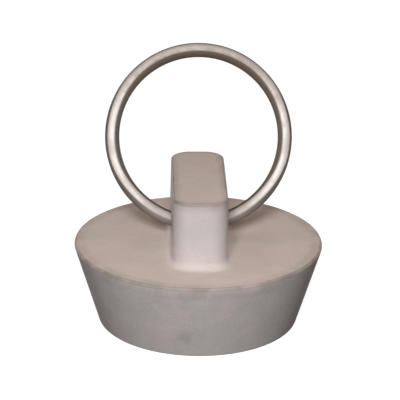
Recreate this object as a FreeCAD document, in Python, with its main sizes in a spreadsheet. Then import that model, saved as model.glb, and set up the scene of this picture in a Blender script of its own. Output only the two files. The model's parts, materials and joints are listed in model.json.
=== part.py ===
import FreeCAD, Part
import Sketcher
import math
import os

# Rubber drain stopper with a wire pull ring
# Millimetres, +Z up, origin at the middle of the foot
# The hole in the ear runs along X, and -Y is the front

# Driving dimensions: name, value, meaning
DIMENSIONS = (
    ("top_diameter", 38.1, "across the rounded rim, the widest part of the plug"),
    ("foot_diameter", 30.7, "across the small end of the taper"),
    ("plug_height", 12.6, "from the foot to the top face"),
    ("rim_round", 0.4, "radius of the rim in section"),
    ("foot_round", 0.4, "radius of both edges of the foot"),
    ("foot_width", 5.2, "width of the ring of rubber that the plug stands on"),
    ("deck_thickness", 5.5, "rubber left between the top face and the core"),
    ("core_draft", 3.0, "degrees that the core narrows by on its way up"),
    ("core_round", 1.6, "radius in the upper corner of the core"),
    ("ear_thickness", 8.6, "along the hole, measured at the top face"),
    ("ear_length", 23.9, "across the hole, measured at the top face"),
    ("ear_height", 10.3, "from the top face to the top of the ear"),
    ("ear_corner", 3.05, "corner radius of the ear seen from above"),
    ("ear_draft", 1.0, "degrees that the ear narrows by on its way up"),
    ("ear_edge_round", 0.35, "radius of the top edge of the ear"),
    ("ear_root_round", 1.0, "radius where the ear meets the top face"),
    ("hole_height", 3.2, "from the top face to the middle of the hole"),
    ("hole_clearance", 0.05, "between the wire and the hole where they come nearest"),
    ("mouth_round", 0.3, "radius of both mouths of the hole"),
    ("wire_diameter", 2.2, "thickness of the ring's wire"),
    ("ring_diameter", 26.5, "of the ring, to the middle of its wire"),
    ("ring_split", 0.3, "between the two ends of the wire, inside the ear"),
    ("ring_lean", 20.0, "degrees that the ring leans back from upright"),
)

# Sizes that follow from the driving dimensions: name, formula, meaning
FITS = (
    ("ring_radius", "=Dimensions.ring_diameter / 2", "ring centre to the middle of the wire"),
    ("wire_radius", "=Dimensions.wire_diameter / 2", "half the wire"),
    ("wire_low", "=ring_radius + wire_radius", "ring centre down to the outside of the wire"),
    (
        "wire_high",
        "=sqrt((ring_radius - wire_radius)^2 - (Dimensions.ear_thickness / 2)^2)",
        "ring centre down to the inside of the wire where it leaves the ear",
    ),
    ("pivot_drop", "=(wire_low + wire_high) / 2", "ring centre down to the axis that it swings about"),
    (
        "hole_radius",
        "=(wire_low - wire_high) / 2 + Dimensions.hole_clearance",
        "straight hole that clears the bent wire",
    ),
    ("pivot_z", "=Dimensions.plug_height + Dimensions.hole_height", "height of the hole and of that axis"),
    ("core_depth", "=Dimensions.plug_height - Dimensions.deck_thickness", "foot to the core's ceiling"),
    ("core_mouth", "=Dimensions.foot_diameter / 2 - Dimensions.foot_width", "core's radius at the foot"),
    ("ear_top_z", "=Dimensions.plug_height + Dimensions.ear_height", "height of the top of the ear"),
    (
        "corner_radius",
        "=min(Dimensions.ear_corner; Dimensions.ear_thickness / 2 - Dimensions.ear_edge_round)",
        "corner of the ear, no larger than its thickness has room for",
    ),
)

NEAR = 1e-4

doc = FreeCAD.newDocument("DrainStopper")


def add_sheet(name, rows):
    """Fill a sheet with names, values and meanings, and give each value its name as alias."""
    sheet = doc.addObject("Spreadsheet::Sheet", name)
    for row, (alias, value, meaning) in enumerate(rows, start=1):
        sheet.set(f"A{row}", alias)
        sheet.set(f"B{row}", str(value))
        sheet.set(f"C{row}", meaning)
        sheet.setAlias(f"B{row}", alias)
    doc.recompute()
    return sheet


dimensions = add_sheet("Dimensions", DIMENSIONS)
fits = add_sheet("Fits", FITS)


def add_body(label):
    """Start a sub-part whose label names its file."""
    body = doc.addObject("PartDesign::Body", label)
    body.Label = label
    return body


def add_sketch(body, name, role):
    """Start a sketch on one of the body's own origin planes."""
    sketch = body.newObject("Sketcher::SketchObject", name)
    plane = next(feature for feature in body.Origin.OriginFeatures if feature.Role == role)
    sketch.AttachmentSupport = [(plane, "")]
    sketch.MapMode = "FlatFace"
    return sketch


def constrain(sketch, kind, *references):
    """Add a constraint that has no size."""
    sketch.addConstraint(Sketcher.Constraint(kind, *references))


def dimension(sketch, kind, references, value, formula):
    """Add a constraint that starts at a value and is then bound to a formula on the sheets."""
    index = sketch.addConstraint(Sketcher.Constraint(kind, *references, value))
    sketch.setExpression(f"Constraints[{index}]", formula)


def edges_where(feature, wanted):
    """Names of a feature's edges whose bounding box passes a test."""
    numbered = enumerate(feature.Shape.Edges, start=1)
    return [f"Edge{number}" for number, edge in numbered if wanted(edge.BoundBox)]


def level_at(height):
    """Test for an edge that lies flat at a height."""
    return lambda box: abs(box.ZMin - height) < NEAR and abs(box.ZMax - height) < NEAR


def add_fillet(body, name, wanted, alias):
    """Round the edges of the body's last feature that pass a test, by a radius on the sheet."""
    doc.recompute()
    base = body.Tip
    fillet = body.newObject("PartDesign::Fillet", name)
    fillet.Base = (base, edges_where(base, wanted))
    fillet.setExpression("Radius", f"Dimensions.{alias}")
    doc.recompute()


# Numbers that sketches count by: the two axes below zero, then a line's or arc's start, end and centre
ACROSS_AXIS, UP_AXIS = range(-1, -3, -1)
START, END, CENTRE = range(1, 4)
ORIGIN = (ACROSS_AXIS, START)


def turn_plug(body):
    """Half section of the plug, turned about Z: top face, rounded rim, taper, foot, and the core below."""
    top = dimensions.top_diameter / 2
    height = dimensions.plug_height
    rim = dimensions.rim_round
    foot = dimensions.foot_diameter / 2
    depth = fits.core_depth
    mouth = fits.core_mouth
    core_top = mouth - depth * math.tan(math.radians(dimensions.core_draft))
    taper = math.atan2(top - foot, height)

    def point(across, up):
        return FreeCAD.Vector(across, up, 0)

    rim_centre = point(top - rim, height - rim)
    rim_circle = Part.Circle(rim_centre, FreeCAD.Vector(0, 0, 1), rim)
    rim_foot = rim_centre + point(rim * math.cos(taper), -rim * math.sin(taper))

    sketch = add_sketch(body, "PlugSection", "XZ_Plane")
    deck = sketch.addGeometry(Part.LineSegment(point(0, height), point(top - rim, height)))
    bead = sketch.addGeometry(Part.ArcOfCircle(rim_circle, -taper, math.pi / 2))
    side = sketch.addGeometry(Part.LineSegment(rim_foot, point(foot, 0)))
    base = sketch.addGeometry(Part.LineSegment(point(foot, 0), point(mouth, 0)))
    wall = sketch.addGeometry(Part.LineSegment(point(mouth, 0), point(core_top, depth)))
    ceiling = sketch.addGeometry(Part.LineSegment(point(core_top, depth), point(0, depth)))
    middle = sketch.addGeometry(Part.LineSegment(point(0, depth), point(0, height)))

    constrain(sketch, "Tangent", deck, END, bead, END)
    constrain(sketch, "Tangent", bead, START, side, START)
    for line, following in ((side, base), (base, wall), (wall, ceiling), (ceiling, middle), (middle, deck)):
        constrain(sketch, "Coincident", line, END, following, START)
    constrain(sketch, "Horizontal", deck)
    constrain(sketch, "Horizontal", ceiling)
    constrain(sketch, "PointOnObject", deck, START, UP_AXIS)
    constrain(sketch, "PointOnObject", ceiling, END, UP_AXIS)
    constrain(sketch, "PointOnObject", side, END, ACROSS_AXIS)
    constrain(sketch, "PointOnObject", base, END, ACROSS_AXIS)

    rim_across = "Dimensions.top_diameter / 2 - Dimensions.rim_round"
    core_top_across = "Fits.core_mouth - Fits.core_depth * tan(Dimensions.core_draft)"
    dimension(sketch, "DistanceY", (*ORIGIN, deck, START), height, "Dimensions.plug_height")
    dimension(sketch, "Radius", (bead,), rim, "Dimensions.rim_round")
    dimension(sketch, "DistanceX", (*ORIGIN, bead, CENTRE), top - rim, rim_across)
    dimension(sketch, "DistanceX", (*ORIGIN, side, END), foot, "Dimensions.foot_diameter / 2")
    dimension(sketch, "DistanceX", (*ORIGIN, base, END), mouth, "Fits.core_mouth")
    dimension(sketch, "DistanceX", (*ORIGIN, wall, END), core_top, core_top_across)
    dimension(sketch, "DistanceY", (*ORIGIN, ceiling, START), depth, "Fits.core_depth")

    turned = body.newObject("PartDesign::Revolution", "TurnedPlug")
    turned.Profile = (sketch, [""])
    turned.ReferenceAxis = (sketch, ["V_Axis"])
    turned.Angle = 360


def raise_ear(body):
    """Bar with rounded corners that stands on the top face and narrows upwards, as it leaves its mould."""
    half_thickness = dimensions.ear_thickness / 2
    half_length = dimensions.ear_length / 2
    corner = fits.corner_radius

    sketch = add_sketch(body, "EarPlan", "XY_Plane")
    sketch.setExpression("AttachmentOffset.Base.z", "Dimensions.plug_height")
    arcs = []
    for quarter, (side_x, side_y) in enumerate(((1, 1), (-1, 1), (-1, -1), (1, -1))):
        centre = FreeCAD.Vector(side_x * (half_thickness - corner), side_y * (half_length - corner), 0)
        circle = Part.Circle(centre, FreeCAD.Vector(0, 0, 1), corner)
        begin = quarter * math.pi / 2
        arcs.append(sketch.addGeometry(Part.ArcOfCircle(circle, begin, begin + math.pi / 2)))
        across = f"{side_x} * (Dimensions.ear_thickness / 2 - Fits.corner_radius)"
        along = f"{side_y} * (Dimensions.ear_length / 2 - Fits.corner_radius)"
        dimension(sketch, "DistanceX", (*ORIGIN, arcs[-1], CENTRE), centre.x, across)
        dimension(sketch, "DistanceY", (*ORIGIN, arcs[-1], CENTRE), centre.y, along)
        dimension(sketch, "Radius", (arcs[-1],), corner, "Fits.corner_radius")
    for arc, following in zip(arcs, arcs[1:] + arcs[:1]):
        ends = (sketch.getPoint(arc, END), sketch.getPoint(following, START))
        flat = sketch.addGeometry(Part.LineSegment(*ends))
        constrain(sketch, "Tangent", arc, END, flat, START)
        constrain(sketch, "Tangent", flat, END, following, START)

    ear = body.newObject("PartDesign::Pad", "Ear")
    ear.Profile = (sketch, [""])
    ear.setExpression("Length", "Dimensions.ear_height")
    ear.setExpression("TaperAngle", "-Dimensions.ear_draft")


def bore_hole(body):
    """Straight hole through the ear from side to side, which the ring swings in."""
    sketch = add_sketch(body, "HoleSection", "YZ_Plane")
    centre = FreeCAD.Vector(0, fits.pivot_z, 0)
    circle = sketch.addGeometry(Part.Circle(centre, FreeCAD.Vector(0, 0, 1), fits.hole_radius))
    constrain(sketch, "PointOnObject", circle, CENTRE, UP_AXIS)
    dimension(sketch, "DistanceY", (*ORIGIN, circle, CENTRE), fits.pivot_z, "Fits.pivot_z")
    dimension(sketch, "Radius", (circle,), fits.hole_radius, "Fits.hole_radius")

    # The cut runs both ways from the middle, far enough to come out of both sides of the ear
    doc.recompute()
    volume = body.Shape.Volume
    hole = body.newObject("PartDesign::Pocket", "RingHole")
    hole.Profile = (sketch, [""])
    hole.SideType = "Symmetric"
    hole.setExpression("Length", "2 * Dimensions.ear_thickness")
    doc.recompute()
    removed = volume - body.Shape.Volume
    half_through = math.pi * fits.hole_radius**2 * dimensions.ear_thickness / 2
    if removed < half_through:
        raise RuntimeError("the hole doesn't go through the ear")


def make_rubber_plug():
    """One rubber moulding: the tapered plug, cored out from below, with the ear on top."""
    body = add_body("rubber_plug")
    turn_plug(body)
    add_fillet(body, "FootRound", level_at(0), "foot_round")
    add_fillet(body, "CoreRound", level_at(fits.core_depth), "core_round")
    raise_ear(body)
    add_fillet(body, "EarEdgeRound", level_at(fits.ear_top_z), "ear_edge_round")

    on_deck = level_at(dimensions.plug_height)
    reach = dimensions.ear_length / 2 + NEAR

    def round_ear_root(box):
        return on_deck(box) and box.XMax < reach and box.YMax < reach

    add_fillet(body, "EarRootRound", round_ear_root, "ear_root_round")

    bore_hole(body)
    pivot = FreeCAD.Vector(0, 0, fits.pivot_z)

    def round_hole_axis(box):
        along_axis = FreeCAD.Vector(box.Center.x, 0, 0)
        return abs(box.Center.x) > NEAR and box.Center.isEqual(pivot + along_axis, NEAR)

    add_fillet(body, "MouthRound", round_hole_axis, "mouth_round")
    return body


def make_pull_ring():
    """Round wire bent into a ring about its own centre, then leaned back about the hole in the ear."""
    body = add_body("pull_ring")
    sketch = add_sketch(body, "WireSection", "YZ_Plane")
    centre = FreeCAD.Vector(0, fits.ring_radius, 0)
    circle = sketch.addGeometry(Part.Circle(centre, FreeCAD.Vector(0, 0, 1), fits.wire_radius))
    constrain(sketch, "PointOnObject", circle, CENTRE, UP_AXIS)
    dimension(sketch, "DistanceY", (*ORIGIN, circle, CENTRE), fits.ring_radius, "Fits.ring_radius")
    dimension(sketch, "Radius", (circle,), fits.wire_radius, "Fits.wire_radius")

    bent = body.newObject("PartDesign::Revolution", "BentWire")
    bent.Profile = (sketch, [""])
    bent.ReferenceAxis = (sketch, ["H_Axis"])
    bent.Midplane = True
    bent.setExpression("Angle", "360 - Dimensions.ring_split / Fits.ring_radius * 180 / pi")

    back = FreeCAD.Vector(-1, 0, 0)
    body.Placement = FreeCAD.Placement(FreeCAD.Vector(), FreeCAD.Rotation(back, dimensions.ring_lean))
    body.setExpression("Placement.Rotation.Angle", "Dimensions.ring_lean")
    body.setExpression("Placement.Base.y", "Fits.pivot_drop * sin(Dimensions.ring_lean)")
    body.setExpression("Placement.Base.z", "Fits.pivot_z + Fits.pivot_drop * cos(Dimensions.ring_lean)")
    return body


def write_parts(bodies):
    """Check every object, then write each sub-part to a file of its own."""
    doc.recompute()
    for thing in doc.Objects:
        if "Invalid" in thing.State or "Error" in thing.State:
            raise RuntimeError(f"{thing.Label} failed: {thing.State}")
    for body in bodies:
        if body.Shape.isNull() or not body.Shape.isValid() or len(body.Shape.Solids) != 1:
            raise RuntimeError(f"{body.Label} is not one valid solid")
    os.makedirs("parts", exist_ok=True)
    for body in bodies:
        body.Shape.exportStep(f"parts/{body.Label}.step")
        box = body.Shape.optimalBoundingBox(True, False)
        extents = f"{box.XLength:.2f} x {box.YLength:.2f} x {box.ZLength:.2f} mm"
        print(f"{body.Label}: {extents}, {body.Shape.Volume:.1f} mm3")


write_parts([make_rubber_plug(), make_pull_ring()])
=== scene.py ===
# %% [markdown]
# # A drain stopper with a pull ring
#
# The part is a tapered plug of pale rubber with an ear on its top, and a wire ring that swings in a hole
# through the ear. Its solids come packed from the CAD side in one shared frame, in metres. This lesson
# rebuilds both pieces with smooth surfaces, gives them the finish of used rubber and satin-plated wire,
# and lights them like the photo.
#
# Load the frame first. Every piece below is made where its solid already is, so nothing is fitted by eye.

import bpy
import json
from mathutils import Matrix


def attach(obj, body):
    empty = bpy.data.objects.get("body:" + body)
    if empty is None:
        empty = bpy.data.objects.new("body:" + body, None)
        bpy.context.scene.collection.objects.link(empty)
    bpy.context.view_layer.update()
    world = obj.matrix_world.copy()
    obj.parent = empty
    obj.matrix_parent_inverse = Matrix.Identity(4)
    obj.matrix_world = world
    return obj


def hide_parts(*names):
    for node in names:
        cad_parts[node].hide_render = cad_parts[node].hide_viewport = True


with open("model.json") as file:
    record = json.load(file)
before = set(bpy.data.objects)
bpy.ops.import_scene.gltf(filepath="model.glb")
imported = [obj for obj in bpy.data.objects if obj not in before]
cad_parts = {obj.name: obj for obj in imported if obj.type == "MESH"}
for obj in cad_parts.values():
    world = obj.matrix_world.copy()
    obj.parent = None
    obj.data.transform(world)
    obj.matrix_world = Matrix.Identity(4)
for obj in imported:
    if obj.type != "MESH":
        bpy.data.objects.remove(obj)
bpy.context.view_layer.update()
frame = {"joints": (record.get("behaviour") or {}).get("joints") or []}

# %% Tools for the lesson
import json
import math

import bmesh
import bpy
from mathutils import Matrix, Vector

# A millimetre in metres, and how far apart in millimetres two points may be and still count as one
MM = 0.001
NEAR = 0.001
SQUARE = math.pi / 2
ALONG_Y, UP = Vector((0, 1, 0)), Vector((0, 0, 1))
PIVOT = Vector(frame["joints"][0]["pos_m"]) / MM


def in_mm(lengths):
    """Lengths in metres as millimetres, rounded for printing."""
    return [round(length / MM, 2) for length in lengths]


print("The ring swings about", [round(value, 2) for value in PIVOT], "mm")

# %% [markdown]
# ## The turned plug
#
# The plug is round, so half of its section, spun about the upright axis, gives all of it: the top face,
# the rim, the taper, the foot and the hollow core below. A cylinder scaled at one end would give the taper
# alone. Here the section is six corners in millimetres. It starts part of the way out on the top face,
# which leaves a round opening for the ear. The corners stay sharp until the spin is done, because a bevel
# on a whole loop of edges keeps the rows of faces even all the way round.

# %% Sizes of the moulding
# The bevel makes the rim 0.003 mm wider than this radius, which brings it to the solid's 19.05 mm
RIM_RADIUS, RIM_ROUND = 19.047, 0.4
FOOT_RADIUS, FOOT_ROUND, FOOT_WIDTH = 15.35, 0.4, 5.2
PLUG_HEIGHT, DECK_THICKNESS = 12.6, 5.5
CORE_DRAFT, CORE_ROUND = math.radians(3), 1.6
DECK_OPENING = 15.0

core_mouth = FOOT_RADIUS - FOOT_WIDTH
core_depth = PLUG_HEIGHT - DECK_THICKNESS
core_top = core_mouth - core_depth * math.tan(CORE_DRAFT)
rim_across = RIM_RADIUS - RIM_ROUND - FOOT_RADIUS
rim_up = PLUG_HEIGHT - RIM_ROUND
taper = math.atan2(rim_across, rim_up) + math.asin(RIM_ROUND / math.hypot(rim_across, rim_up))
rim_corner = FOOT_RADIUS + PLUG_HEIGHT * math.tan(taper)
print(f"The side leans out by {math.degrees(taper):.2f} degrees")

# %% Spin the half section
TURN_STEPS = 180

plug = bmesh.new()
section = (
    (DECK_OPENING, PLUG_HEIGHT),
    (rim_corner, PLUG_HEIGHT),
    (FOOT_RADIUS, 0),
    (core_mouth, 0),
    (core_top, core_depth),
    (0, core_depth),
)
corners = [plug.verts.new((across, 0, up)) for across, up in section]
sides = [plug.edges.new(pair) for pair in zip(corners, corners[1:])]
bmesh.ops.spin(
    plug, geom=corners + sides, axis=UP, angle=math.tau, steps=TURN_STEPS, use_merge=True
)
bmesh.ops.remove_doubles(plug, verts=plug.verts, dist=NEAR)
print("Spun plug:", len(plug.faces), "faces")


# %% Round its corners
def round_edges(mesh, edges, radius, angle, segments):
    """Bevel edges to a radius. The round starts further from a sharp corner than from a wide one."""
    bmesh.ops.bevel(
        mesh,
        geom=edges,
        offset=radius / math.tan(angle / 2),
        affect="EDGES",
        segments=segments,
        profile=0.5,
        material=-1,
    )


def turned_loop(radius, height):
    """Edges of the turned plug at one radius and height."""
    def there(vert):
        return abs(vert.co.xy.length - radius) < NEAR and abs(vert.co.z - height) < NEAR

    return [edge for edge in plug.edges if all(map(there, edge.verts))]


RIM_SEGMENTS, FOOT_SEGMENTS, CORE_SEGMENTS = 8, 5, 6

round_edges(plug, turned_loop(rim_corner, PLUG_HEIGHT), RIM_ROUND, SQUARE - taper, RIM_SEGMENTS)
round_edges(plug, turned_loop(FOOT_RADIUS, 0), FOOT_ROUND, SQUARE + taper, FOOT_SEGMENTS)
round_edges(plug, turned_loop(core_mouth, 0), FOOT_ROUND, SQUARE + CORE_DRAFT, FOOT_SEGMENTS)
round_edges(plug, turned_loop(core_top, core_depth), CORE_ROUND, SQUARE + CORE_DRAFT, CORE_SEGMENTS)
print("Rounded plug:", len(plug.faces), "faces, radius", round(max(vert.co.x for vert in plug.verts), 3))

# %% [markdown]
# ## The ear
#
# The ear is a bar with rounded corners that narrows a little upwards, as a moulding does to leave its
# mould. A Boolean union with the plug would leave uneven edges at its foot, which bevel badly. So it starts
# as a cube with its bottom open, and a flat flange is extruded round its foot. Then the inner corner
# between ear and top face can be bevelled too: that is the soft fillet that keeps rubber from tearing.

# %% Raise the ear from a cube
EAR_THICKNESS, EAR_LENGTH, EAR_HEIGHT = 8.6, 23.9, 10.3
EAR_CORNER, EAR_DRAFT = 3.05, math.radians(1)
CORNER_SEGMENTS = 12
FACING = 0.9

EAR_TOP = PLUG_HEIGHT + EAR_HEIGHT
draft_in = EAR_HEIGHT * math.tan(EAR_DRAFT)
ear = bmesh.new()
stretched = Matrix.Diagonal((EAR_THICKNESS, EAR_LENGTH, EAR_HEIGHT, 1))
raised = Matrix.Translation((0, 0, PLUG_HEIGHT + EAR_HEIGHT / 2))
bmesh.ops.create_cube(ear, size=1, matrix=raised @ stretched)
bottom = [face for face in ear.faces if face.normal.z < -FACING]
bmesh.ops.delete(ear, geom=bottom, context="FACES_ONLY")
uprights = [edge for edge in ear.edges if abs(edge.verts[0].co.z - edge.verts[1].co.z) > NEAR]
round_edges(ear, uprights, EAR_CORNER, SQUARE, CORNER_SEGMENTS)


def ear_level(height):
    """Vertices of the ear at one height."""
    return [vert for vert in ear.verts if abs(vert.co.z - height) < NEAR]


narrowed = (1 - 2 * draft_in / EAR_THICKNESS, 1 - 2 * draft_in / EAR_LENGTH, 1)
bmesh.ops.scale(ear, vec=narrowed, verts=ear_level(EAR_TOP))
print("Ear:", len(ear.faces), "faces")

# %% Give it a flange, and round its root and its top edge
EAR_EDGE_ROUND, EAR_ROOT_ROUND = 0.35, 1.0
EAR_SEGMENTS = 5
FLANGE = 1.4

outline = [edge for edge in ear.edges if edge.is_boundary]
grown = bmesh.ops.extrude_edge_only(ear, edges=outline)["geom"]
inner_half = Vector((EAR_THICKNESS / 2 - EAR_CORNER, EAR_LENGTH / 2 - EAR_CORNER))
for vert in (item for item in grown if isinstance(item, bmesh.types.BMVert)):
    within = [max(-half, min(half, value)) for half, value in zip(inner_half, vert.co.xy)]
    vert.co.xy += (vert.co.xy - Vector(within)).normalized() * FLANGE

sloped = SQUARE + EAR_DRAFT
round_edges(ear, outline, EAR_ROOT_ROUND, sloped, EAR_SEGMENTS)
top = set(ear_level(EAR_TOP))
top_edges = [edge for edge in ear.edges if top.issuperset(edge.verts)]
round_edges(ear, top_edges, EAR_EDGE_ROUND, sloped, EAR_SEGMENTS)
print("Rounded ear:", len(ear.faces), "faces")

# %% [markdown]
# ## The hole through the ear
#
# The hole is straight and the wire in it is bent, so it has to be wider than the wire: from the wire's
# lowest point to its highest at the sides of the ear, and a little room. A Boolean cut would leave long
# thin faces round the hole, and they shade badly. Instead, four cuts across the ear frame a square window
# on each side. The window's face goes, its edges are divided, and a circle of as many corners is bridged to
# it. Bridging the two circles makes the tunnel, and a last bevel rounds both mouths.

# %% Find how wide the hole is
WIRE_RADIUS, RING_RADIUS = 1.1, 13.25
HOLE_ROOM = 0.05

# Both are measured down from the ring's centre
wire_low = RING_RADIUS + WIRE_RADIUS
wire_high = math.sqrt((RING_RADIUS - WIRE_RADIUS) ** 2 - (EAR_THICKNESS / 2) ** 2)
hole_radius = (wire_low - wire_high) / 2 + HOLE_ROOM
print("The hole is", round(2 * hole_radius, 2), "mm across")

# %% Cut the two windows
WINDOW, WINDOW_CUTS = 2.1, 7
SIDES = (-1, 1)

for side in SIDES:
    for across in (ALONG_Y, UP):
        everything = ear.verts[:] + ear.edges[:] + ear.faces[:]
        cut = PIVOT + across * side * WINDOW
        bmesh.ops.bisect_plane(ear, geom=everything, plane_co=cut, plane_no=across)


def in_window(point):
    """Whether a point of the ear lies inside one of the two windows, or on its frame."""
    return max(abs(point.y), abs(point.z - PIVOT.z)) < WINDOW + NEAR


def window_frames():
    """Open edges of the ear inside the two windows, or on their frames."""
    open_edges = [edge for edge in ear.edges if edge.is_boundary]
    return [edge for edge in open_edges if all(in_window(vert.co) for vert in edge.verts)]


walls = [face for face in ear.faces if abs(face.normal.x) > FACING]
panes = [face for face in walls if in_window(face.calc_center_median())]
bmesh.ops.delete(ear, geom=panes, context="FACES_ONLY")
bmesh.ops.subdivide_edges(ear, edges=window_frames(), cuts=WINDOW_CUTS)
print("Windows:", len(panes), "panes removed")


# %% Bridge the windows to a tunnel
def wall_at(height):
    """How far the ear's side wall is from the middle at a height."""
    return EAR_THICKNESS / 2 - (height - PLUG_HEIGHT) * math.tan(EAR_DRAFT)


MOUTH_ROUND, MOUTH_SEGMENTS = 0.3, 4

on_pivot = Matrix.Translation((0, 0, PIVOT.z)) @ Matrix.Rotation(SQUARE, 4, "Y")
mouths = []
for side in SIDES:
    window = [edge for edge in window_frames() if edge.verts[0].co.x * side > 0]
    made = bmesh.ops.create_circle(ear, segments=len(window), radius=hole_radius, matrix=on_pivot)
    for vert in made["verts"]:
        vert.co.x = side * wall_at(vert.co.z)
    mouth = list({edge for vert in made["verts"] for edge in vert.link_edges})
    bmesh.ops.bridge_loops(ear, edges=window + mouth)
    mouths += mouth
bmesh.ops.bridge_loops(ear, edges=mouths)
round_edges(ear, mouths, MOUTH_ROUND, SQUARE, MOUTH_SEGMENTS)
print("Ear with its hole:", len(ear.faces), "faces")

# %% [markdown]
# ## One moulding
#
# Ear and plug are one piece of rubber, so the ear joins the plug's mesh, and a fill closes the flat ring of
# top face between the flange and the plug. The fill is made of thin triangles, which is harmless where
# everything is flat. The Weighted Normal modifier lets large faces decide how the small rounds beside them
# shade.

# %% Join the ear to the plug
carried = bpy.data.meshes.new("ear")
ear.to_mesh(carried)
ear.free()
plug.from_mesh(carried)
bpy.data.meshes.remove(carried)
rims = [edge for edge in plug.edges if edge.is_boundary]
bmesh.ops.triangle_fill(plug, edges=rims, use_beauty=True, normal=UP)
print("Open edges left:", sum(not edge.is_manifold for edge in plug.edges))


# %% Make it a piece
def finish_piece(mesh, name, body, node):
    """Turn a mesh in millimetres into a piece that rides on its body and stands for its solid."""
    bmesh.ops.remove_doubles(mesh, verts=mesh.verts, dist=NEAR)
    bmesh.ops.recalc_face_normals(mesh, faces=mesh.faces)
    bmesh.ops.scale(mesh, vec=(MM, MM, MM), verts=mesh.verts)
    data = bpy.data.meshes.new(name)
    mesh.to_mesh(data)
    mesh.free()
    data.shade_smooth()
    piece = bpy.data.objects.new(name, data)
    bpy.context.scene.collection.objects.link(piece)
    piece.modifiers.new("even shading", "WEIGHTED_NORMAL").keep_sharp = True
    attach(piece, body)
    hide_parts(node)
    print(name, "has", len(data.polygons), "faces and is", in_mm(piece.dimensions), "mm")
    return piece


moulding = finish_piece(plug, "rubber_moulding", "plug", "rubber_plug")

# %% [markdown]
# ## The pull ring
#
# The ring is a length of round wire, bent until its ends nearly meet inside the ear. A torus would be
# closed, so here a circle the size of the wire is spun about the ring's own centre and stops just short of
# a full turn. Both ends are closed and lightly rounded. Only then does the ring lean back and move to its
# place. The axis of swing lies midway between the wire's lowest point and its highest in the hole.

# %% Find the ring's centre
RING_SPLIT, RING_LEAN = 0.3, math.radians(20)

pivot_drop = (wire_low + wire_high) / 2
RING_CENTRE = PIVOT + pivot_drop * Vector((0, math.sin(RING_LEAN), math.cos(RING_LEAN)))
split_angle = RING_SPLIT / RING_RADIUS
print("Ring centre in mm:", [round(value, 3) for value in RING_CENTRE])

# %% Bend the wire
BEND_STEPS, WIRE_SIDES = 200, 28
END_ROUND, END_SEGMENTS = 0.2, 3

wire = bmesh.new()
at_split = Matrix.Rotation(split_angle / 2, 4, "Y") @ Matrix.Translation((0, 0, -RING_RADIUS))
facing_along = at_split @ Matrix.Rotation(SQUARE, 4, "Y")
start = bmesh.ops.create_circle(wire, segments=WIRE_SIDES, radius=WIRE_RADIUS, matrix=facing_along)
bmesh.ops.spin(
    wire,
    geom=start["verts"] + wire.edges[:],
    axis=ALONG_Y,
    angle=math.tau - split_angle,
    steps=BEND_STEPS,
)
ends = [edge for edge in wire.edges if edge.is_boundary]
bmesh.ops.holes_fill(wire, edges=ends, sides=WIRE_SIDES)
round_edges(wire, ends, END_ROUND, SQUARE, END_SEGMENTS)
bmesh.ops.rotate(wire, matrix=Matrix.Rotation(-RING_LEAN, 3, "X"), verts=wire.verts)
bmesh.ops.translate(wire, vec=RING_CENTRE, verts=wire.verts)

pull_ring = finish_piece(wire, "wire_ring", "ring", "pull_ring")

# %% [markdown]
# ## Materials from expressions
#
# A finish is a sum of small effects, each with a mask that says where it is. Masks are arithmetic, and
# arithmetic reads best as Python. So one small class wraps a socket: a sum or a product of two of them adds
# a Math node, and add() makes any other node from its type, its settings and what goes into its sockets.


# %% A socket that can be added and multiplied
class Field:
    """A socket of a material's nodes that takes part in Python expressions."""

    def __init__(self, tree, socket=None):
        self.tree, self.socket = tree, socket

    def feed(self, node, inputs):
        """Fill a node's sockets: a Field is linked, and any other value is set on the socket itself."""
        for name, value in inputs.items():
            if isinstance(value, Field):
                self.tree.links.new(value.socket, node.inputs[name])
            else:
                node.inputs[name].default_value = value

    def add(self, kind, settings=None, inputs=None, output=0):
        """Make a node: its settings first, then the values or links of its sockets."""
        node = self.tree.nodes.new(kind)
        for name, value in (settings or {}).items():
            setattr(node, name, value)
        self.feed(node, inputs or {})
        return Field(self.tree, node.outputs[output])

    def math(self, operation, *others):
        """A Math node on this value and others."""
        return self.add("ShaderNodeMath", {"operation": operation}, dict(enumerate((self, *others))))

    def __add__(self, other):
        return self.math("ADD", other)

    def __sub__(self, other):
        return self.math("SUBTRACT", other)

    def __rsub__(self, other):
        return (self * -1).math("ADD", other)

    def __mul__(self, other):
        return self.math("MULTIPLY", other)

    def __truediv__(self, other):
        return self.math("DIVIDE", other)

    def __abs__(self):
        return self.math("ABSOLUTE")

    __radd__, __rmul__ = __add__, __mul__

    def fade(self, start, end):
        """Smooth step: 0 on the start's side and 1 from the end on, whichever of the two is larger."""
        limits = {"Value": self, "From Min": min(start, end), "From Max": max(start, end)}
        limits.update({"To Min": float(start > end), "To Max": float(start < end)})
        return self.add("ShaderNodeMapRange", {"interpolation_type": "SMOOTHSTEP"}, limits)

    def mix(self, low, high):
        """Colour that goes from one to another as this value goes from 0 to 1."""
        # These are the numbers of the Mix node's sockets when it mixes colours
        factor, first, second, mixed = 0, 6, 7, 2
        ends = {factor: self, first: low, second: high}
        return self.add("ShaderNodeMix", {"data_type": "RGBA"}, ends, output=mixed)


print("Methods of a Field:", [name for name in vars(Field) if not name.startswith("__")])


# %% Starting points for a material
def new_material(name):
    """A new material, its shader, and the place of each point in millimetres."""
    material = bpy.data.materials.new(name)
    material.use_nodes = True
    shader = material.node_tree.nodes["Principled BSDF"]
    place = Field(material.node_tree).add("ShaderNodeTexCoord", output="Object")
    in_millimetres = {0: place, 1: (1 / MM,) * 3}
    return material, shader, place.add("ShaderNodeVectorMath", {"operation": "MULTIPLY"}, in_millimetres)


def noise(place, size, detail=2.0, roughness=0.5):
    """Soft noise with features of a size in millimetres, from 0 to 1 and mostly near a half."""
    inputs = {"Vector": place, "Scale": 1 / size, "Detail": detail, "Roughness": roughness}
    return place.add("ShaderNodeTexNoise", inputs=inputs)


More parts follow.
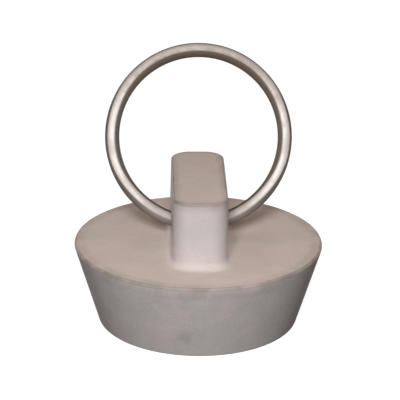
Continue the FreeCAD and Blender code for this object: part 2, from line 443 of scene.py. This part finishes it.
def axes(place):
    """The three coordinates of a place."""
    return [place.add("ShaderNodeSeparateXYZ", inputs={0: place}, output=axis) for axis in range(3)]


print("Material tools are ready")

# %% [markdown]
# ## Rubber
#
# The rubber is a warm pale grey, quite matte, and mottled like any filled rubber: here a little rosy,
# there olive. Its two flat tops carry painted warm light, and its side carries painted shade that makes it
# darker and greyer. Use has worn soil into the rim and the ear's top edge, and the rounds there carry a
# darker painted shade that takes out their highlight. The ear is darker towards its top, its sides carry
# painted shade, and one weak stain sits low on the front. All this could be painted on a picture. Masks
# worked out from a point's place need no picture, and they fit from every side. Distance from the ear's
# outline, for one, is the length of what sticks out of a smaller rectangle, less the radius of the corners.

# %% Mottle the rubber
RUBBER = (0.515, 0.437, 0.402, 1)
RUBBER_PALE = (0.576, 0.492, 0.455, 1)

rubber, shader, place = new_material("moulded_rubber")
x, y, z = axes(place)
cloudy = noise(place, size=7, detail=3, roughness=0.55)
patchy = noise(place, size=3, detail=3, roughness=0.6).fade(0.35, 0.65)
tinted = noise(place, size=4.5)
waves = noise(place, size=4)
speckle = noise(place, size=0.5, roughness=0.6)
grain = noise(place, size=0.25, roughness=0.6)
colour = cloudy.fade(0.3, 0.75).mix(RUBBER, RUBBER_PALE)


def uneven(least, more):
    """Strength that rises from least by up to more, from patch to patch."""
    return least + more * patchy


print("Mottling takes", len(rubber.node_tree.nodes), "nodes")

# %% Find where soil has worn in, and where the rounds get painted shade
# Painted shade lies in the rounds of the rim and the ear, against their highlight, this far in from the
# corner and this far down, in mm
SHADE_IN, RIM_SHADE_DOWN, EAR_SHADE_DOWN = 0.1, 0.17, 0.13
EAR_WEAR_DOWN = 0.2

from_axis = (x * x + y * y).math("SQRT")
past_x = (abs(x) - inner_half.x).math("MAXIMUM", 0)
past_y = (abs(y) - inner_half.y).math("MAXIMUM", 0)
from_ear_top = (past_x * past_x + past_y * past_y).math("SQRT") - (EAR_CORNER - draft_in)
above_deck = z - PLUG_HEIGHT
above_ear = z - EAR_TOP


def near_point(across, up, near, far):
    """Mask round a point of the section: 1 up to a near distance from it, and 0 from a far one on."""
    return (across * across + up * up).math("SQRT").fade(far, near)


# Painted shade on the rounds of the rim and the ear's top edge, dark enough to take out their highlight
rim_round_shade = near_point(from_axis - (RIM_RADIUS - SHADE_IN), above_deck + RIM_SHADE_DOWN, near=0.18, far=0.42)
ear_round_shade = near_point(from_ear_top + SHADE_IN, above_ear + EAR_SHADE_DOWN, near=0.16, far=0.32)
worn_rim = near_point(from_axis - rim_corner, above_deck, near=1.2, far=2.4)
worn_ear = near_point(from_ear_top, above_ear + EAR_WEAR_DOWN, near=0.15, far=1.5)
print("With the soil there are", len(rubber.node_tree.nodes), "nodes")

# %% Find the painted warm light and shade, the darker ear and the stain
# Limits are in mm, from the middle, the top face or the top of the ear
STAIN_X, STAIN_Z = -1.1, 3.5
STAIN_HALF_WIDTH, STAIN_HALF_HEIGHT = 3.2, 2.2

# Painted shade: the side below the rim is painted darker and greyer than the tops
shaded_side = above_deck.fade(-0.3, -2.0)
# Painted warm light: the top face and the top of the ear are painted warmer and lighter than the rest
warm_lit_deck = above_deck.fade(-0.3, 0) * above_deck.fade(0.4, 0)
warm_lit_tops = warm_lit_deck + above_ear.fade(-0.3, 0)
# The ear is darker towards its top
up_the_ear = above_deck.fade(3, EAR_HEIGHT)
ear_flanks = above_deck.fade(1, 4) * above_ear.fade(-0.2, -0.8)
# Painted shade on the ear's rounded corners and side walls, darker than the light alone makes them
shaded_ear_sides = abs(x).fade(2.2, 4.2) * ear_flanks
aside = (x - STAIN_X) / STAIN_HALF_WIDTH
above = (z - STAIN_Z) / STAIN_HALF_HEIGHT
on_front = y.fade(-10, -13)
stained = (aside * aside + above * above).fade(1, 0) * on_front * uneven(0.5, 0.5)
print("With all marks there are", len(rubber.node_tree.nodes), "nodes")

# %% Lay the marks over the colour
RUBBER_SIDE_SHADE = (0.385, 0.338, 0.315, 1)
SOIL = (0.28, 0.225, 0.185, 1)
ROUND_SHADE = (0.2, 0.163, 0.135, 1)
PAINTED_WARM_LIGHT, WARM_LIGHT_STRENGTH = (0.6, 0.45, 0.34, 1), 0.3
STAIN, STAIN_STRENGTH = (0.22, 0.18, 0.12, 1), 0.3
ROSY, OLIVE, TINT_STRENGTH = (0.56, 0.41, 0.39, 1), (0.42, 0.41, 0.34, 1), 0.25
DARKER_UP_THE_EAR, EAR_SIDE_SHADE = 0.09, 0.14
SPECKLE_STRENGTH, GRAIN_STRENGTH, GRAIN_ON_SIDE = 0.15, 0.15, 0.2

layers = (
    # Painted shade on the side
    (shaded_side * uneven(0.52, 0.2), RUBBER_SIDE_SHADE),
    # Painted warm light on the flat tops
    (warm_lit_tops * WARM_LIGHT_STRENGTH, PAINTED_WARM_LIGHT),
    # The ear darker towards its top, and painted shade on its sides
    (up_the_ear * DARKER_UP_THE_EAR + shaded_ear_sides * EAR_SIDE_SHADE, SOIL),
    (worn_rim * uneven(0.1, 0.25) + worn_ear * uneven(0.38, 0.25), SOIL),
    # Painted shade on the rounds, in this layer and the next
    (rim_round_shade * uneven(0.6, 0.25), ROUND_SHADE),
    (ear_round_shade * uneven(0.75, 0.2), ROUND_SHADE),
    (stained * STAIN_STRENGTH, STAIN),
    (speckle.fade(0.6, 0.75) * SPECKLE_STRENGTH, SOIL),
    (grain.fade(0.4, 0.75) * (GRAIN_STRENGTH + GRAIN_ON_SIDE * shaded_side), SOIL),
    (tinted.fade(0.48, 0.3) * TINT_STRENGTH, ROSY),
    (tinted.fade(0.52, 0.7) * TINT_STRENGTH, OLIVE),
)
for strength, mark in layers:
    colour = strength.mix(colour, mark)
print("The rubber has", len(layers), "layers of marks")

# %% Finish the rubber
RUBBER_ROUGHNESS, CLOUDS_ROUGHER, HANDLING_SMOOTHER = 0.68, 0.14, 0.1
GRAIN_RELIEF = 0.25

relief = {"Strength": 0.3, "Distance": 0.06 * MM, "Height": waves + GRAIN_RELIEF * grain}
finish = {
    "Base Color": colour,
    "Roughness": RUBBER_ROUGHNESS + CLOUDS_ROUGHER * cloudy - HANDLING_SMOOTHER * up_the_ear,
    "Normal": place.add("ShaderNodeBump", inputs=relief),
    "Specular IOR Level": 0.12,
}
place.feed(shader, finish)
moulding.data.materials.append(rubber)
print("Rubber has", len(rubber.node_tree.nodes), "nodes")

# %% [markdown]
# ## Plated wire
#
# Wire is pulled through a die, which leaves fine lines along it, and the plating over them is satin
# nickel, dull in patches where it has worn. Its colour also carries painted reflections: dark brown bands
# inside and outside the bend, with a sharp border, stand for dark surroundings seen in the wire, and next
# to the ear the wire is painted browner, for the shaded top face seen in it. The top of the ring is painted
# duller as painted shade, less so on its outer half, which keeps a painted highlight. Noise in plain x, y
# and z would run straight across the bend. So lines and bands are drawn in the wire's own coordinates: the
# angle round the ring and the angle round the wire. Both come from the point's place in the ring's own
# plane, which a Mapping node turns upright first.

# %% Draw the wire's lines
# Lines are this wide in mm. Distance along the wire is squeezed for them, so they are 25 times as long
LINE_WIDTH, LINE_SQUEEZE = 0.12, 0.04

plating, shader, place = new_material("satin_plating")
to_upright = {"Vector": place, "Location": RING_CENTRE, "Rotation": (-RING_LEAN, 0, 0)}
own = place.add("ShaderNodeMapping", {"vector_type": "TEXTURE"}, to_upright)
x, y, z = axes(own)
outward = (x * x + z * z).math("SQRT") - RING_RADIUS
along = x.math("ARCTAN2", z) * RING_RADIUS
around = y.math("ARCTAN2", outward) * WIRE_RADIUS
drawn = place.add("ShaderNodeCombineXYZ", inputs={0: along * LINE_SQUEEZE, 1: around, 2: outward})
lines = noise(drawn, size=LINE_WIDTH, roughness=0.6)
print("Drawn lines take", len(plating.node_tree.nodes), "nodes")

# %% Paint dark reflections on the wire
# Heights and distances are in mm from the ring's centre, and outward is from the middle of the wire
DARKEST = 0.95
LIGHTER_BY_EAR, DARKER_BY_EAR, LIGHTER_IN_PATCHES = 0.6, 0.4, 0.15

worn = noise(place, size=2.5, detail=3, roughness=0.6)
upper_ring = z.fade(2, 12)
low = z.fade(-3, -11)
near_ear = abs(x).fade(12, 6) * low


def moved_border(at_top, at_bottom):
    """Distance outward, counted from further out at the top of the ring and further in at the bottom."""
    return outward - at_top * upper_ring + at_bottom * low


# Painted reflection: dark bands inside and outside the bend stand for dark surroundings seen in the wire,
# and next to the ear the wire is painted darker, for the shaded top face below it
inner = moved_border(at_top=0.27, at_bottom=0.5).fade(-0.2, -0.55)
outer = moved_border(at_top=0.25, at_bottom=0.45).fade(0.52, 0.82)
painted_dark = DARKEST * inner + (DARKEST - LIGHTER_BY_EAR * near_ear) * outer
painted_dark = painted_dark + DARKER_BY_EAR * near_ear - LIGHTER_IN_PATCHES * worn
painted_dark = painted_dark.math("MINIMUM", DARKEST).math("MAXIMUM", 0)
print("With the tarnish there are", len(plating.node_tree.nodes), "nodes")

# %% Plate the wire
NICKEL = (0.66, 0.592, 0.54, 1)
NICKEL_DULL = (0.315, 0.257, 0.212, 1)
NICKEL_GLINT = (0.4, 0.31, 0.24, 1)
DARK_REFLECTION = (0.08, 0.057, 0.039, 1)
DULLED, SHADE_AT_TOP, OUTER_HALF_LIT, LINE_STRENGTH = 0.25, 0.8, 0.65, 0.2

dull = worn.fade(0.35, 0.7)
outer_half = outward.fade(0.05, 0.55)
# Painted shade dulls the top of the ring, less on its outer half, which keeps a painted highlight; the
# noise adds real dull patches of wear
dull_and_top_shade = DULLED * dull + SHADE_AT_TOP * upper_ring * (1 - OUTER_HALF_LIT * outer_half)
colour = dull_and_top_shade.math("MINIMUM", 1).mix(NICKEL, NICKEL_DULL)
colour = (lines.fade(0.5, 0.8) * LINE_STRENGTH).mix(colour, NICKEL_DULL)
# Painted dark reflections over the plating
colour = painted_dark.mix(colour, DARK_REFLECTION)
print("With its colour there are", len(plating.node_tree.nodes), "nodes")

# %% Finish the wire
PLATING_METALLIC, LESS_METALLIC_WHERE_DARK = 0.6, 0.2
PLATING_ROUGHNESS, LINES_ROUGHER, DULL_ROUGHER = 0.64, 0.06, 0.06

relief = {"Strength": 0.15, "Distance": 0.01 * MM, "Height": lines}
finish = {
    "Base Color": colour,
    "Metallic": PLATING_METALLIC - LESS_METALLIC_WHERE_DARK * painted_dark,
    "Roughness": PLATING_ROUGHNESS + LINES_ROUGHER * lines + DULL_ROUGHER * dull,
    "Normal": place.add("ShaderNodeBump", inputs=relief),
    "Specular Tint": NICKEL_GLINT,
}
place.feed(shader, finish)
pull_ring.data.materials.append(plating)
print("Plating has", len(plating.node_tree.nodes), "nodes")

# %% [markdown]
# ## Floor, light and camera
#
# The photo has a white background. Stronger lamps would whiten a floor, but they would bleach the rubber
# too. So the floor is pale, and a little light of its own lifts it to white while the stopper's shadow
# stays. Only the camera, reflections and views through glass see it like that. For light that bounces it is
# dark, which keeps the shade on the taper. The main light is a soft one from the front and above, close to
# the camera. A warm one overhead is for the flat tops, a weak one on the left rounds the side, two low ones
# light the back, and a little warm light comes from all around. The camera's place and lens were solved
# from the outline in the photo.

# %% Lay the floor
FLOOR_RADIUS, FLOOR_SIDES = 3.0, 64

ground = bmesh.new()
bmesh.ops.create_circle(ground, cap_ends=True, segments=FLOOR_SIDES, radius=FLOOR_RADIUS)
floor_mesh = bpy.data.meshes.new("floor")
ground.to_mesh(floor_mesh)
ground.free()
floor = bpy.data.objects.new("floor", floor_mesh)
bpy.context.scene.collection.objects.link(floor)
print("Floor laid,", 2 * FLOOR_RADIUS, "m across")

# %% Whiten the floor
FLOOR_PALE = (0.4, 0.4, 0.4, 1)
FLOOR_BOUNCE = (0.06, 0.06, 0.06, 1)
FLOOR_GLOW, UNLIT = (0.85, 0.85, 0.85, 1), (0, 0, 0, 1)

paper = bpy.data.materials.new("pale_floor")
paper.use_nodes = True
paper.node_tree.nodes.remove(paper.node_tree.nodes["Principled BSDF"])
sheet = Field(paper.node_tree)
rays = ("Is Camera Ray", "Is Glossy Ray", "Is Transmission Ray")
seen, mirrored, through = (sheet.add("ShaderNodeLightPath", output=kind) for kind in rays)
shown = (seen + mirrored + through).math("MINIMUM", 1)
lit = sheet.add("ShaderNodeBsdfDiffuse", inputs={"Color": shown.mix(FLOOR_BOUNCE, FLOOR_PALE)})
glow = sheet.add("ShaderNodeEmission", inputs={"Color": shown.mix(UNLIT, FLOOR_GLOW)})
both = sheet.add("ShaderNodeAddShader", inputs={0: lit, 1: glow})
sheet.feed(paper.node_tree.nodes["Material Output"], {"Surface": both})
floor.data.materials.append(paper)
print("The floor's material has", len(paper.node_tree.nodes), "nodes")

# %% Set the lights
# Name, azimuth and elevation in degrees, distance and size in metres, power in watts, colour
LIGHTS = (
    ("front_light", -4, 31, 0.25, 0.07, 0.8, (0.87, 0.93, 1.0)),
    ("left_light", -70, 8, 0.4, 0.12, 0.07, (1.0, 0.98, 0.97)),
    ("top_light", -5, 95, 0.35, 0.25, 0.155, (1.0, 0.7, 0.5)),
    ("back_left_light", -152, 2, 0.45, 0.06, 0.75, (1.0, 0.96, 0.93)),
    ("back_right_light", 152, 2, 0.45, 0.06, 0.75, (1.0, 0.96, 0.93)),
)
AIM = Vector((0.000188, 0, 0.019132))


def direction(azimuth, elevation):
    """Unit vector towards a light or the camera, in degrees: azimuth 0 is the front, and 90 the right."""
    turn, rise = math.radians(azimuth), math.radians(elevation)
    return Vector((math.sin(turn) * math.cos(rise), -math.cos(turn) * math.cos(rise), math.sin(rise)))


for name, azimuth, elevation, distance, size, power, tone in LIGHTS:
    lamp = bpy.data.lights.new(name, "AREA")
    lamp.size, lamp.energy, lamp.color = size, power, tone
    light = bpy.data.objects.new(name, lamp)
    towards = direction(azimuth, elevation)
    light.location = AIM + towards * distance
    light.rotation_euler = towards.to_track_quat("Z", "Y").to_euler()
    bpy.context.scene.collection.objects.link(light)
print("Lights:", [lamp.name for lamp in bpy.data.lights])

# %% Add light from all around
WORLD_COLOUR, WORLD_STRENGTH = (1, 0.87, 0.79, 1), 0.1

world = bpy.data.worlds.new("studio")
world.use_nodes = True
surroundings = {"Color": WORLD_COLOUR, "Strength": WORLD_STRENGTH}
Field(world.node_tree).feed(world.node_tree.nodes["Background"], surroundings)
bpy.context.scene.world = world
print("Light from all around has a strength of", WORLD_STRENGTH)

# %% Place the camera
CAMERA_AZIMUTH, CAMERA_ELEVATION, CAMERA_ROLL = -1.8, 21.06, math.radians(-0.64)
CAMERA_DISTANCE = 0.300
FOCAL_PIXELS, FRAME_PIXELS = 1961.3, 400
SENSOR_WIDTH = 36
NEAREST, FURTHEST = 0.01, 10

lens = bpy.data.cameras.new("camera")
lens.sensor_width = SENSOR_WIDTH
lens.lens = FOCAL_PIXELS / FRAME_PIXELS * SENSOR_WIDTH
lens.clip_start, lens.clip_end = NEAREST, FURTHEST
camera = bpy.data.objects.new("camera", lens)
back = direction(CAMERA_AZIMUTH, CAMERA_ELEVATION)
level = UP.cross(back).normalized()
upward = back.cross(level)
right = math.cos(CAMERA_ROLL) * level - math.sin(CAMERA_ROLL) * upward
turned = Matrix((right, back.cross(right), back)).transposed().to_4x4()
camera.matrix_world = Matrix.Translation(AIM + back * CAMERA_DISTANCE) @ turned
bpy.context.scene.collection.objects.link(camera)
bpy.context.scene.camera = camera
bpy.context.scene.view_settings.view_transform = "Standard"
print("Camera at", in_mm(camera.location), "mm")
